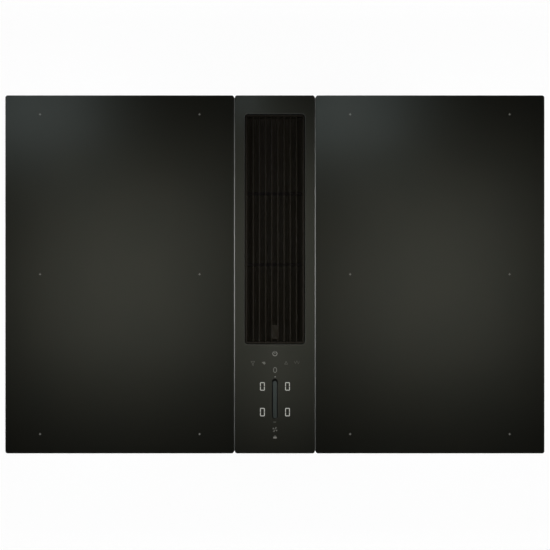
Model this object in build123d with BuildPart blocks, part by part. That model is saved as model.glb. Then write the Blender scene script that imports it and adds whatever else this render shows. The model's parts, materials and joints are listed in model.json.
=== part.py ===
# Downdraft induction cooktop: two induction modules with an extractor module between them.
# Millimetres. Origin on the worktop surface at the centre of the glass field,
# +X to the right, +Y to the back, +Z up.

from math import cos, exp, radians, sin
import os

from build123d import *

os.makedirs("parts", exist_ok=True)

# Glass field
glass_depth = 515.0
glass_thickness = 4.0
glass_corner_radius = 3.5
glass_edge_chamfer = 0.6
side_glass_width = 329.0
centre_glass_width = 115.0
joint_gap = 1.2
joint_strip_recess = 0.8
seal_thickness = 2.0
seal_inset = 3.0
seal_width = 7.0

# Inlet nozzle, filter basket and drip tray, which lift out through the centre glass
inlet_back_margin = 26.75
inlet_width = 87.0
control_strip_depth = 156.75
inlet_corner_radius = 5.0
nozzle_gap = 1.0
nozzle_wall = 2.7
nozzle_below_glass_top = 0.5
nozzle_edge_fillet = 1.2
slat_count = 8
slat_thickness = 1.6
slat_height = 17.0
slat_below_nozzle_top = 0.8
nozzle_bar_width = 4.0
nozzle_bar_height = 8.0
nozzle_bar_spacing = 102.0
nozzle_bar_below_slat_top = 2.5
grip_width = 9.2
grip_length = 20.0
grip_height = 8.0
grip_from_nozzle_end = 7.0
nozzle_height = 31.5
filter_side_gap = 1.5
filter_height = 54.0
filter_wall = 1.5
filter_rim_width = 5.0
filter_corner_radius = 6.0
filter_windows = 4
filter_window_spacing = 8.0
filter_mesh_wall = 1.0
filter_mesh_gap = 0.3
mesh_slot_width = 3.0
mesh_slot_pitch = 12.0
tray_height = 18.0
tray_wall = 2.0
tray_corner_radius = 8.0
tray_lip_width = 9.0

# Air neck and casing of the extractor
neck_clearance = 0.5
neck_wall = 1.5
neck_flange_gap = 0.5
neck_flange_thickness = 2.0
collar_thickness = 1.5
casing_width = 439.0
casing_length = 430.0
casing_centre_from_inlet = 40.0
casing_corner_radius = 30.0
casing_wall = 2.5
casing_roof_below_seat = 60.0
casing_drop_below_roof = 38.0
casing_pan_depth = 27.0
roof_rib_height = 3.0
roof_rib_width = 3.0
roof_rib_length = 130.0
roof_rib_pitch = 60.0
roof_ribs = 6
roof_rib_gap = 12.0
shell_post_radius = 7.0
shell_post_inset = 14.5
shell_screw_radius = 2.0
shell_screw_head_radius = 4.5
shell_screw_head_height = 3.0
shell_screw_grip = 6.0
screw_hole_clearance = 0.1
cradle_rib_thickness = 3.0
cradle_rib_inset = 5.0

# Fan scroll, impeller and motor
fan_from_casing_front = 135.0
scroll_height = 65.5
scroll_start_radius = 100.0
scroll_growth = 0.053
scroll_start_angle = 60.0
scroll_spans = 12
scroll_run_length = 68.4
cover_thickness = 2.5
bell_throat_radius = 66.0
bell_mouth_radius = 78.0
bell_height = 18.0
bell_wall = 2.0
bell_flange_width = 8.0
impeller_radius = 93.0
impeller_height = 53.0
impeller_floor_gap = 4.0
impeller_disc = 2.0
impeller_ring_width = 14.0
blade_count = 24
blade_bow = 3.4
blade_thickness = 1.4
hub_radius = 52.0
hub_height = 36.0
rotor_gap = 1.0
rotor_wall = 2.5
stator_gap = 0.8
stator_slots = 9
stator_slot_width = 7.0
stator_slot_depth = 13.0
stator_height = 22.0
shaft_radius = 4.0
bearing_radius = 11.0
bearing_height = 7.0
running_clearance = 0.05
motor_boss_radius = 16.0

# Flat duct outlet
spigot_width = 222.0
spigot_height = 89.0
spigot_corner_radius = 6.0
spigot_wall = 2.0
spigot_length = 20.0
spigot_from_casing_side = 8.5
spigot_flange_width = 8.0
spigot_flange_rim = 3.0
spigot_flange_thickness = 3.0

# Electronics under the casing
box_to_blower_gap = 19.3
box_length = 250.0
box_from_casing_side = 6.0
box_from_casing_front = 35.0
box_wall = 2.0
box_corner_radius = 4.0
board_thickness = 1.6
board_post_size = 8.0
board_post_inset = 4.0
board_post_height = 6.0
driver_board_margin = 12.0

# Control unit under the front of the centre glass
slider_length = 57.8
slider_width = 8.3
slider_depth = 1.3
slider_taper = 35.0
slider_from_glass_front = 78.7
digit_spacing_x = 36.0
digit_spacing_y = 37.2
digit_module_width = 13.0
digit_module_length = 19.0
control_box_side_gap = 3.5
control_box_height = 44.0
control_box_wall = 1.5
control_box_corner_radius = 3.0
control_box_gap = 4.0
control_board_margin = 2.0
control_board_drop = 8.0

# Induction module
housing_side_inset = 14.0
housing_end_inset = 21.5
housing_height = 47.0
housing_wall = 1.0
housing_corner_radius = 6.0
housing_rim = 6.0
mica_thickness = 0.8
mica_margin = 2.0
coil_count = 4
coil_gap = 9.0
coil_side_margin = 35.5
coil_band = 30.0
coil_end_flat = 16.0
winding_thickness = 4.4
former_thickness = 2.0
former_rim = 2.0
former_corner_radius = 12.0
ferrite_thickness = 3.5
ferrite_width = 7.0
ferrite_length = 34.0
ferrite_pitch = 48.0
carrier_thickness = 1.5
carrier_margin = 6.0
carrier_hole_radius = 12.0
spring_length = 44.0
spring_leg_angle = 70.0
spring_thickness = 0.8
spring_width = 12.0
spring_from_side = 34.5
spring_from_end = 15.0
power_board_width = 118.0
power_board_length = 300.0
power_board_from_side = 15.5
power_board_from_front = 56.0
heat_sink_width = 56.0
heat_sink_length = 150.0
heat_sink_height = 22.0
heat_sink_base = 3.0
heat_sink_fins = 8
heat_sink_fin_thickness = 2.0
heat_sink_shift_y = -45.0
capacitor_radius = 10.0
capacitor_height = 20.0
capacitor_pitch = 26.0
cooling_fan_from_side = 34.5
cooling_fan_from_back = 130.0
cooling_fan_size = 92.0
cooling_fan_height = 22.0
cooling_fan_bore_radius = 42.5
cooling_fan_hub_radius = 16.0
cooling_fan_base = 3.0
cooling_fan_arm_width = 6.0
cooling_fan_pin_radius = 1.5
cooling_fan_tip_gap = 1.5
cooling_fan_blades = 7
cooling_fan_blade_thickness = 1.6
cooling_fan_hub_gap = 0.4
terminal_width = 74.0
terminal_length = 30.0
terminal_height = 18.0
terminal_ways = 5
terminal_pitch = 13.0
terminal_pocket = (9.0, 16.0)
terminal_from_side = 33.5
terminal_from_back = 46.0
vent_slot_length = 70.0
vent_slot_width = 5.0
vent_slot_pitch = 11.0
vent_slots = 7
exhaust_slot_length = 26.0
exhaust_slot_width = 4.0
exhaust_slot_pitch = 34.0
exhaust_slots = 7

# Cable glands
gland_bore_radius = 4.5
gland_body_radius = 7.5
gland_nut_radius = 10.0
gland_nut_height = 6.0
gland_body_length = 14.0
gland_from_terminal = (40.0, 30.0)
box_gland_from_centre = 19.0
box_gland_rise = 30.0

# Swivelling mounting clamps
clamp_axis_from_wall = 4.6
clamp_screw_radius = 2.0
clamp_screw_head_radius = 3.8
clamp_screw_head_height = 2.5
clamp_hub_radius = 4.0
clamp_lug_thickness = 2.0
clamp_lug_radius = 4.2
clamp_lug_bottom_rise = 3.0
clamp_hub_height = 16.0
clamp_arm_length = 30.0
clamp_arm_width = 6.0
clamp_arm_thickness = 4.0
clamp_arm_rise = 8.0
clamp_tip_length = 3.0
clamp_tip_height = 2.5
clamp_from_housing_side = 55.5

# Levels worked out from the sizes above, from the worktop surface
glass_bottom = seal_thickness
glass_top = glass_bottom + glass_thickness
side_centre_x = centre_glass_width / 2 + joint_gap + side_glass_width / 2
inlet_length = glass_depth - inlet_back_margin - control_strip_depth
inlet_centre_y = glass_depth / 2 - inlet_back_margin - inlet_length / 2
nozzle_top = glass_top - nozzle_below_glass_top
nozzle_bottom = nozzle_top - nozzle_height
filter_bottom = nozzle_bottom - filter_height
tray_bottom = filter_bottom - tray_height
collar_bottom = glass_bottom - collar_thickness
neck_flange_bottom = collar_bottom - neck_flange_thickness
casing_roof = -casing_roof_below_seat
casing_split = casing_roof - casing_drop_below_roof
pan_bottom = casing_split - casing_pan_depth
pan_floor = pan_bottom + casing_wall
scroll_bottom = pan_bottom - scroll_height
base_level = scroll_bottom - cover_thickness
housing_bottom = glass_bottom - housing_height
housing_floor = housing_bottom + housing_wall
mica_bottom = glass_bottom - mica_thickness
winding_bottom = mica_bottom - winding_thickness
former_bottom = winding_bottom - former_thickness
ferrite_bottom = former_bottom - ferrite_thickness
carrier_bottom = ferrite_bottom - carrier_thickness

neck_inner_width = inlet_width + 2 * neck_clearance
neck_inner_length = inlet_length + 2 * neck_clearance
neck_width = neck_inner_width + 2 * neck_wall
neck_length = neck_inner_length + 2 * neck_wall
neck_flange_width = centre_glass_width / 2 - seal_inset - seal_width - neck_flange_gap - neck_width / 2
nozzle_width = inlet_width - 2 * nozzle_gap
nozzle_length = inlet_length - 2 * nozzle_gap
filter_width = inlet_width - 2 * filter_side_gap
filter_length = inlet_length - 2 * filter_side_gap
slat_pitch = (nozzle_width - 2 * nozzle_wall) / (slat_count + 1)
casing_centre_y = inlet_centre_y - casing_centre_from_inlet
casing_back = casing_centre_y + casing_length / 2
casing_front = casing_centre_y - casing_length / 2
scroll_end_radius = scroll_start_radius * exp(scroll_growth * radians(360 - scroll_start_angle))
fan_centre = (casing_width / 2 - casing_wall - scroll_end_radius, casing_front + fan_from_casing_front)
spigot_centre_x = casing_width / 2 - spigot_from_casing_side - spigot_width / 2
housing_width = side_glass_width - 2 * housing_side_inset
housing_depth = glass_depth - 2 * housing_end_inset
clamp_spacing_x = housing_width - 2 * clamp_from_housing_side


def save(piece, name):
    piece.label = name
    export_step(piece, f"parts/{name}.step")


def framed_plate(bottom, thickness, centre, outer, rim, radius):
    # Flat rectangular ring: outer size, rim width and corner radius.
    with BuildPart() as ring:
        with BuildSketch(Plane.XY.offset(bottom)):
            with Locations(centre):
                RectangleRounded(outer[0], outer[1], radius)
                Rectangle(outer[0] - 2 * rim, outer[1] - 2 * rim, mode=Mode.SUBTRACT)
        extrude(amount=thickness)
    return ring.part


# Glass plates, seal tapes and joint strips

def side_glass(centre_x):
    with BuildPart() as glass:
        with BuildSketch(Plane((centre_x, 0, glass_bottom))):
            RectangleRounded(side_glass_width, glass_depth, glass_corner_radius)
        extrude(amount=glass_thickness)
        chamfer(glass.edges().group_by(Axis.Z)[-1], glass_edge_chamfer)
    return glass.part


save(side_glass(-side_centre_x), "left_glass")
save(side_glass(side_centre_x), "right_glass")

slider_centre_y = slider_from_glass_front - glass_depth / 2
with BuildPart() as centre_glass:
    with BuildSketch(Plane.XY.offset(glass_bottom)):
        RectangleRounded(centre_glass_width, glass_depth, glass_corner_radius)
        with Locations((0, inlet_centre_y)):
            RectangleRounded(inlet_width, inlet_length, inlet_corner_radius, mode=Mode.SUBTRACT)
    extrude(amount=glass_thickness)
    chamfer(centre_glass.edges().group_by(Axis.Z)[-1], glass_edge_chamfer)
    with BuildSketch(Plane((0, slider_centre_y, glass_top))):
        SlotOverall(slider_length, slider_width, rotation=90)
    extrude(amount=-slider_depth, taper=slider_taper, mode=Mode.SUBTRACT)
save(centre_glass.part, "centre_glass")

with BuildPart() as seal_tapes:
    with BuildSketch():
        for tape_x, plate_width in (
            (-side_centre_x, side_glass_width),
            (0, centre_glass_width),
            (side_centre_x, side_glass_width),
        ):
            tape_width = plate_width - 2 * seal_inset
            tape_depth = glass_depth - 2 * seal_inset
            with Locations((tape_x, 0)):
                Rectangle(tape_width, tape_depth)
                Rectangle(tape_width - 2 * seal_width, tape_depth - 2 * seal_width, mode=Mode.SUBTRACT)
    extrude(amount=seal_thickness)
save(seal_tapes.part, "seal_tapes")

with BuildPart() as joint_strips:
    with BuildSketch():
        with GridLocations(centre_glass_width + joint_gap, 0, 2, 1):
            Rectangle(joint_gap, glass_depth - 2 * glass_corner_radius)
    extrude(amount=glass_top - joint_strip_recess)
save(joint_strips.part, "joint_strips")


# Inlet nozzle

slat_top = nozzle_top - slat_below_nozzle_top
slot_length = nozzle_length - 2 * nozzle_wall
with BuildPart() as inlet_nozzle:
    with BuildSketch(Plane((0, inlet_centre_y, nozzle_bottom))):
        RectangleRounded(nozzle_width, nozzle_length, inlet_corner_radius - nozzle_gap)
    extrude(amount=nozzle_height)
    fillet(inlet_nozzle.edges().group_by(Axis.Z)[-1], nozzle_edge_fillet)
    with BuildSketch(Plane((0, inlet_centre_y, nozzle_bottom))):
        Rectangle(nozzle_width - 2 * nozzle_wall, slot_length)
    extrude(amount=nozzle_height, mode=Mode.SUBTRACT)
    with BuildSketch(Plane((0, inlet_centre_y, slat_top))):
        with GridLocations(slat_pitch, 0, slat_count, 1):
            Rectangle(slat_thickness, slot_length)
    extrude(amount=-slat_height)
    with BuildSketch(Plane((0, inlet_centre_y, slat_top - nozzle_bar_below_slat_top))):
        with GridLocations(0, nozzle_bar_spacing, 1, 2):
            Rectangle(nozzle_width - 2 * nozzle_wall, nozzle_bar_width)
    extrude(amount=-nozzle_bar_height)
    grip_y = inlet_centre_y - nozzle_length / 2 + grip_from_nozzle_end + grip_length / 2
    with BuildSketch(Plane((0, grip_y, slat_top))):
        Rectangle(grip_width, grip_length)
    extrude(amount=-grip_height)
save(inlet_nozzle.part, "inlet_nozzle")


# Grease filter: an open basket frame with a slotted metal lining

filter_side = Plane(
    (filter_width / 2, inlet_centre_y, filter_bottom + filter_height / 2), x_dir=(0, 1, 0), z_dir=(1, 0, 0)
)
filter_rim_inner = (filter_width - 2 * filter_rim_width, filter_length - 2 * filter_rim_width)
with BuildPart() as filter_frame:
    with BuildSketch(Plane((0, inlet_centre_y, filter_bottom))):
        RectangleRounded(filter_width, filter_length, filter_corner_radius)
    extrude(amount=filter_height)
    offset(amount=-filter_wall, openings=filter_frame.faces().sort_by(Axis.Z)[-1])
    with BuildSketch(Plane((0, inlet_centre_y, nozzle_bottom))):
        RectangleRounded(filter_width, filter_length, filter_corner_radius)
        Rectangle(*filter_rim_inner, mode=Mode.SUBTRACT)
    extrude(amount=-filter_wall)
    window_pitch = (filter_length - 2 * filter_corner_radius) / filter_windows
    window_length = window_pitch - filter_window_spacing
    window_height = filter_height - 2 * filter_window_spacing
    with BuildSketch(filter_side):
        with GridLocations(window_pitch, 0, filter_windows, 1):
            Rectangle(window_length, window_height)
    extrude(amount=-filter_width, mode=Mode.SUBTRACT)
    with BuildSketch(Plane((0, inlet_centre_y, filter_bottom))):
        with GridLocations(0, window_pitch, 1, filter_windows):
            Rectangle(filter_width - 2 * filter_window_spacing, window_length)
    extrude(amount=filter_wall, mode=Mode.SUBTRACT)
save(filter_frame.part, "filter_frame")

lining_inset = filter_wall + filter_mesh_gap
lining_height = filter_height - 2 * filter_wall - filter_mesh_gap
lining_width = filter_width - 2 * lining_inset
lining_length = filter_length - 2 * lining_inset
with BuildPart() as filter_mesh:
    with BuildSketch(Plane((0, inlet_centre_y, filter_bottom + filter_wall))):
        RectangleRounded(lining_width, lining_length, filter_corner_radius - lining_inset)
    extrude(amount=lining_height)
    offset(amount=-filter_mesh_wall, openings=filter_mesh.faces().sort_by(Axis.Z)[-1])
    slots_along = int((filter_length - 4 * filter_corner_radius) / mesh_slot_pitch)
    with BuildSketch(filter_side):
        with GridLocations(mesh_slot_pitch, 0, slots_along, 1):
            Rectangle(mesh_slot_width, window_height)
    extrude(amount=-filter_width, mode=Mode.SUBTRACT)
save(filter_mesh.part, "filter_mesh")


# Drip tray: a shallow trough with a finger lip at each end

with BuildPart() as drip_tray:
    with BuildSketch(Plane((0, inlet_centre_y, tray_bottom))):
        RectangleRounded(filter_width, filter_length, tray_corner_radius)
    extrude(amount=tray_height)
    offset(amount=-tray_wall, openings=drip_tray.faces().sort_by(Axis.Z)[-1])
    with BuildSketch(Plane((0, inlet_centre_y, filter_bottom))):
        RectangleRounded(filter_width, filter_length, tray_corner_radius)
        Rectangle(filter_width, filter_length - 2 * tray_lip_width, mode=Mode.SUBTRACT)
    extrude(amount=-tray_wall)
save(drip_tray.part, "drip_tray")


# Gasket collar and upper shell with the air neck

save(
    framed_plate(
        collar_bottom,
        collar_thickness,
        (0, inlet_centre_y),
        (neck_width + 2 * neck_flange_width, neck_length + 2 * neck_flange_width),
        neck_wall + neck_flange_width,
        inlet_corner_radius,
    ),
    "inlet_collar",
)

post_spacing_x = casing_width - 2 * shell_post_inset
post_spacing_y = casing_length / 2 - shell_post_inset
clamp_lug_bottom = housing_bottom + clamp_lug_bottom_rise
clamp_hub_bottom = clamp_lug_bottom + clamp_lug_thickness
clamp_lug_top = clamp_hub_bottom + clamp_hub_height
clamp_axis_y = housing_depth / 2 + clamp_axis_from_wall


def clamp_lugs(places, reach):
    # A pair of folded lugs at each place, bored for the vertical clamp screw; reach is the way to the wall.
    for lug_level in (clamp_lug_bottom, clamp_lug_top):
        with BuildSketch(Plane.XY.offset(lug_level), mode=Mode.PRIVATE) as lug:
            for place_x, place_y in places:
                inward = -1 if place_y > 0 else 1
                lug_length = reach + clamp_lug_radius
                with Locations((place_x, place_y + inward * (lug_length / 2 - clamp_lug_radius))):
                    Rectangle(2 * clamp_lug_radius, lug_length)
            with Locations(*places):
                Circle(clamp_screw_radius + screw_hole_clearance, mode=Mode.SUBTRACT)
        extrude(lug.sketch, amount=clamp_lug_thickness)


neck_back = inlet_centre_y + neck_length / 2
casing_plan = Plane((0, casing_centre_y, casing_split))
with BuildPart() as upper_shell:
    with BuildSketch(casing_plan):
        RectangleRounded(casing_width, casing_length, casing_corner_radius)
    extrude(amount=casing_drop_below_roof)
    offset(amount=-casing_wall, openings=upper_shell.faces().sort_by(Axis.Z)[0])
    with BuildSketch(casing_plan):
        with GridLocations(post_spacing_x, post_spacing_y, 2, 3):
            Circle(shell_post_radius)
    extrude(amount=casing_drop_below_roof)
    with BuildSketch(Plane((0, inlet_centre_y, casing_roof - casing_wall))):
        RectangleRounded(neck_width, neck_length, inlet_corner_radius)
    extrude(amount=neck_flange_bottom - casing_roof + casing_wall)
    with BuildSketch(Plane((0, inlet_centre_y, neck_flange_bottom))):
        RectangleRounded(
            neck_width + 2 * neck_flange_width, neck_length + 2 * neck_flange_width, inlet_corner_radius
        )
    extrude(amount=neck_flange_thickness)
    clamp_lugs([(0, clamp_axis_y)], clamp_axis_y - neck_back + neck_wall)
    with BuildSketch(Plane((0, inlet_centre_y, casing_roof - casing_wall))):
        RectangleRounded(neck_inner_width, neck_inner_length, inlet_corner_radius - neck_wall)
    extrude(amount=collar_bottom - casing_roof + casing_wall, mode=Mode.SUBTRACT)
    roof_rib_x = neck_width / 2 + roof_rib_gap + roof_rib_length / 2
    with BuildSketch(Plane((0, casing_centre_y, casing_roof))):
        with GridLocations(2 * roof_rib_x, roof_rib_pitch, 2, roof_ribs):
            Rectangle(roof_rib_length, roof_rib_width)
    extrude(amount=roof_rib_height)
    with BuildSketch(casing_plan):
        with GridLocations(post_spacing_x, post_spacing_y, 2, 3):
            Circle(shell_screw_radius + screw_hole_clearance)
    extrude(amount=casing_drop_below_roof, mode=Mode.SUBTRACT)
save(upper_shell.part, "upper_shell")


# Lower shell with the diffuser, and the blower housing with the scroll wall under it

def scroll_point(angle, extra=0.0):
    # Point of the scroll's inner wall at an angle in degrees, moved outward by extra.
    turned = radians(angle - scroll_start_angle)
    reach = scroll_start_radius * exp(scroll_growth * turned) + extra
    return (fan_centre[0] + reach * cos(radians(angle)), fan_centre[1] + reach * sin(radians(angle)))


def scroll_outline(level, extra=0.0):
    # Scroll with its straight outlet run, as a sketch at a level, grown by extra.
    step = (360 - scroll_start_angle) / scroll_spans
    spiral = [scroll_point(scroll_start_angle + step * index, extra) for index in range(scroll_spans + 1)]
    run_width = scroll_right - scroll_left + 2 * extra
    run_length = scroll_straight_end - fan_centre[1]
    with BuildSketch(Plane.XY.offset(level)) as outline:
        with BuildLine():
            Spline(*spiral)
            Polyline(spiral[-1], fan_centre, spiral[0])
        make_face()
        with Locations(fan_centre):
            Circle(scroll_start_radius + extra)
        with Locations(((scroll_left + scroll_right) / 2, fan_centre[1] + run_length / 2)):
            Rectangle(run_width, run_length)
    return outline.sketch


scroll_left, scroll_tongue_y = scroll_point(scroll_start_angle)
scroll_right = scroll_point(360)[0]
scroll_straight_end = scroll_tongue_y + scroll_run_length
spigot_centre_z = casing_split - spigot_flange_rim - spigot_height / 2
diffuser_end = casing_back - casing_wall
post_places = GridLocations(post_spacing_x, post_spacing_y, 2, 3)
flange_width = spigot_width + 2 * spigot_flange_width
flange_height = spigot_height + 2 * spigot_flange_rim
duct_width = spigot_width - 2 * spigot_wall
duct_height = spigot_height - 2 * spigot_wall
back_plane = Plane((spigot_centre_x, casing_back, spigot_centre_z), x_dir=(1, 0, 0), z_dir=(0, -1, 0))


def diffuser_section(plane_y, centre, width, height):
    # Rectangle across the air path, as a sketch facing the back.
    with BuildSketch(Plane((centre[0], plane_y, centre[1]), x_dir=(1, 0, 0), z_dir=(0, -1, 0))) as section:
        Rectangle(width, height)
    return section.sketch.face()


def diffuser(extra):
    # Tapered duct from the scroll's outlet run to the flat spigot, grown by extra.
    start_centre = ((scroll_left + scroll_right) / 2, (pan_bottom + scroll_bottom) / 2)
    start_width = scroll_right - scroll_left + 2 * extra
    start = diffuser_section(scroll_straight_end, start_centre, start_width, scroll_height + 2 * extra)
    end_centre = (spigot_centre_x, spigot_centre_z)
    end = diffuser_section(diffuser_end, end_centre, duct_width + 2 * extra, duct_height + 2 * extra)
    return [start, end]


with BuildPart() as lower_shell:
    with BuildSketch(Plane((0, casing_centre_y, pan_bottom))):
        RectangleRounded(casing_width, casing_length, casing_corner_radius)
    extrude(amount=casing_pan_depth)
    offset(amount=-casing_wall, openings=lower_shell.faces().sort_by(Axis.Z)[-1])
    with BuildSketch(Plane((0, casing_centre_y, pan_bottom))):
        with post_places:
            Circle(shell_post_radius)
    extrude(amount=casing_pan_depth)
    cradle_width = filter_width - 2 * cradle_rib_inset
    tray_front = inlet_centre_y - filter_length / 2
    with BuildSketch(Plane.XY.offset(pan_bottom)):
        with Locations((-cradle_width / 4, tray_front + cradle_rib_inset)):
            Rectangle(cradle_width / 2, cradle_rib_thickness)
        with Locations((0, scroll_straight_end - cradle_rib_inset)):
            Rectangle(cradle_width, cradle_rib_thickness)
    extrude(amount=casing_pan_depth)
    loft(diffuser(casing_wall), ruled=True)
    with BuildSketch(back_plane):
        Rectangle(flange_width, flange_height)
    extrude(amount=casing_wall)
    with BuildSketch(back_plane):
        Rectangle(duct_width, duct_height)
    extrude(amount=casing_wall, mode=Mode.SUBTRACT)
    loft(diffuser(0), ruled=True, mode=Mode.SUBTRACT)
    with BuildSketch(Plane.XY.offset(pan_bottom)):
        with Locations(fan_centre):
            Circle(bell_mouth_radius)
    extrude(amount=casing_wall, mode=Mode.SUBTRACT)
    with BuildSketch(Plane((0, casing_centre_y, casing_split))):
        with post_places:
            Circle(shell_screw_radius)
    extrude(amount=-shell_screw_grip, mode=Mode.SUBTRACT)
save(lower_shell.part, "lower_shell")

with BuildPart() as blower_housing:
    extrude(scroll_outline(scroll_bottom, casing_wall), amount=scroll_height)
    extrude(scroll_outline(scroll_bottom), amount=scroll_height, mode=Mode.SUBTRACT)
save(blower_housing.part, "blower_housing")


# Bell mouth over the impeller's eye

bell_rim = bell_mouth_radius + bell_flange_width
with BuildPart() as bell_mouth:
    with BuildSketch(Plane((fan_centre[0], fan_centre[1], pan_floor), x_dir=(1, 0, 0), z_dir=(0, -1, 0))):
        with BuildLine():
            RadiusArc((bell_throat_radius, 0), (bell_mouth_radius, bell_height / 2), -bell_height)
            Polyline(
                (bell_mouth_radius, bell_height / 2),
                (bell_mouth_radius + bell_wall, bell_height / 2),
                (bell_mouth_radius + bell_wall, bell_wall),
                (bell_rim, bell_wall),
                (bell_rim, 0),
                (bell_throat_radius + bell_wall, 0),
                (bell_throat_radius + bell_wall, -bell_height / 2),
                (bell_throat_radius, -bell_height / 2),
                (bell_throat_radius, 0),
            )
        make_face()
    revolve(axis=Axis((fan_centre[0], fan_centre[1], 0), (0, 0, 1)))
save(bell_mouth.part, "bell_mouth")


# Impeller with forward-curved blades, and the external-rotor motor inside its hub

fan_axis = Axis((fan_centre[0], fan_centre[1], 0), (0, 0, 1))
impeller_bottom = scroll_bottom + impeller_floor_gap
impeller_top = impeller_bottom + impeller_height
fan_section = Plane((fan_centre[0], fan_centre[1], impeller_bottom), x_dir=(1, 0, 0), z_dir=(0, -1, 0))
blade_inner = impeller_radius - impeller_ring_width
with BuildSketch() as blade_section:
    with BuildLine():
        ThreePointArc(
            (blade_inner, 0),
            ((blade_inner + impeller_radius) / 2, blade_bow),
            (impeller_radius - blade_thickness, blade_bow),
        )
    trace(line_width=blade_thickness)
with BuildPart() as impeller:
    with BuildSketch(fan_section):
        with BuildLine():
            Polyline(
                (impeller_radius, 0),
                (impeller_radius, impeller_disc),
                (hub_radius + impeller_disc, impeller_disc),
                (hub_radius, hub_height),
                (0, hub_height),
                (0, hub_height - impeller_disc),
                (hub_radius - impeller_disc, hub_height - impeller_disc),
                (hub_radius, 0),
                (impeller_radius, 0),
            )
        make_face()
    revolve(axis=fan_axis)
    with BuildSketch(Plane((fan_centre[0], fan_centre[1], impeller_top))):
        Circle(impeller_radius)
        Circle(blade_inner, mode=Mode.SUBTRACT)
    extrude(amount=-impeller_disc)
    with BuildSketch(Plane((fan_centre[0], fan_centre[1], impeller_bottom + impeller_disc))):
        with PolarLocations(0, blade_count):
            add(blade_section.sketch)
    extrude(amount=impeller_height - 2 * impeller_disc)
save(impeller.part, "impeller")

rotor_top = hub_height - impeller_disc
rotor_radius = hub_radius - impeller_disc - rotor_gap
rotor_bottom = impeller_disc
with BuildPart() as motor_rotor:
    with BuildSketch(fan_section):
        with BuildLine():
            Polyline(
                (0, rotor_top),
                (rotor_radius - rotor_gap, rotor_top),
                (rotor_radius - rotor_gap, rotor_bottom),
                (rotor_radius - rotor_gap - rotor_wall, rotor_bottom),
                (rotor_radius - rotor_gap - rotor_wall, rotor_top - rotor_wall),
                (shaft_radius, rotor_top - rotor_wall),
                (shaft_radius, rotor_bottom),
                (0, rotor_bottom),
                (0, rotor_top),
            )
        make_face()
    revolve(axis=fan_axis)
save(motor_rotor.part, "motor_rotor")

stator_radius = rotor_radius - rotor_gap - rotor_wall - stator_gap
with BuildPart() as motor_stator:
    with BuildSketch(Plane((fan_centre[0], fan_centre[1], impeller_bottom))):
        Circle(stator_radius)
        Circle(bearing_radius, mode=Mode.SUBTRACT)
        with PolarLocations(stator_radius - stator_slot_depth / 2, stator_slots):
            Rectangle(stator_slot_depth, stator_slot_width, mode=Mode.SUBTRACT)
    extrude(amount=stator_height)
save(motor_stator.part, "motor_stator")

with BuildPart() as motor_bearings:
    for bearing_level in (impeller_bottom, impeller_bottom + stator_height - bearing_height):
        with BuildSketch(Plane((fan_centre[0], fan_centre[1], bearing_level))):
            Circle(bearing_radius)
            Circle(shaft_radius + running_clearance, mode=Mode.SUBTRACT)
        extrude(amount=bearing_height)
save(motor_bearings.part, "motor_bearings")

with BuildPart() as blower_cover:
    extrude(scroll_outline(base_level, casing_wall), amount=cover_thickness)
    with BuildSketch(Plane((fan_centre[0], fan_centre[1], scroll_bottom))):
        Circle(motor_boss_radius)
    extrude(amount=impeller_floor_gap)
save(blower_cover.part, "blower_cover")


# Flat duct spigot on the back

with BuildPart() as outlet_spigot:
    with BuildSketch(back_plane):
        Rectangle(flange_width, flange_height)
    extrude(amount=-spigot_flange_thickness)
    with BuildSketch(back_plane):
        RectangleRounded(spigot_width, spigot_height, spigot_corner_radius)
    extrude(amount=-spigot_length)
    with BuildSketch(back_plane):
        RectangleRounded(duct_width, duct_height, spigot_corner_radius - spigot_wall)
    extrude(amount=-spigot_length, mode=Mode.SUBTRACT)
save(outlet_spigot.part, "outlet_spigot")


# Electronics box under the pan, open at the top where the pan closes it

def board(bottom, centre, width, length):
    with BuildPart() as plate:
        with BuildSketch(Plane((centre[0], centre[1], bottom))):
            Rectangle(width, length)
        extrude(amount=board_thickness)
    return plate.part


def open_tray(bottom, centre, size, wall, corner):
    # Box open at the top: size is width, length and height.
    with BuildPart() as tray:
        with BuildSketch(Plane((centre[0], centre[1], bottom))):
            RectangleRounded(size[0], size[1], corner)
        extrude(amount=size[2])
        offset(amount=-wall, openings=tray.faces().sort_by(Axis.Z)[-1])
    return tray.part


def board_posts(width, length):
    # Four square posts near the corners of a board, drawn in the sketch that calls this.
    with GridLocations(
        width - 2 * board_post_inset - board_post_size, length - 2 * board_post_inset - board_post_size, 2, 2
    ):
        Rectangle(board_post_size, board_post_size)


box_left = box_from_casing_side - casing_width / 2
box_right = scroll_point(180, casing_wall)[0] - box_to_blower_gap
box_width = box_right - box_left
box_centre = (
    (box_left + box_right) / 2,
    casing_front + box_from_casing_front + box_length / 2,
)
box_height = pan_bottom - base_level
box_back = box_centre[1] + box_length / 2
box_gland_x = box_centre[0] - box_gland_from_centre
box_gland_z = base_level + box_gland_rise
driver_width = box_width - 2 * driver_board_margin
driver_length = box_length - 2 * driver_board_margin
box_gland_plane = Plane((box_gland_x, box_back, box_gland_z), x_dir=(1, 0, 0), z_dir=(0, 1, 0))
box_tray = open_tray(base_level, box_centre, (box_width, box_length, box_height), box_wall, box_corner_radius)
with BuildPart() as electronics_box:
    add(box_tray)
    with BuildSketch(Plane((box_centre[0], box_centre[1], base_level + box_wall))):
        board_posts(driver_width, driver_length)
    extrude(amount=board_post_height)
    with BuildSketch(Plane.XZ.offset(box_length / 2 - box_centre[1])):
        with Locations((box_centre[0], base_level + box_height / 2)):
            with GridLocations(0, vent_slot_pitch, 1, exhaust_slots // 2):
                Rectangle(vent_slot_length, exhaust_slot_width)
    extrude(amount=-box_wall, mode=Mode.SUBTRACT)
    with BuildSketch(box_gland_plane):
        Circle(gland_body_radius)
    extrude(amount=-box_wall, mode=Mode.SUBTRACT)
save(electronics_box.part, "electronics_box")

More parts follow.
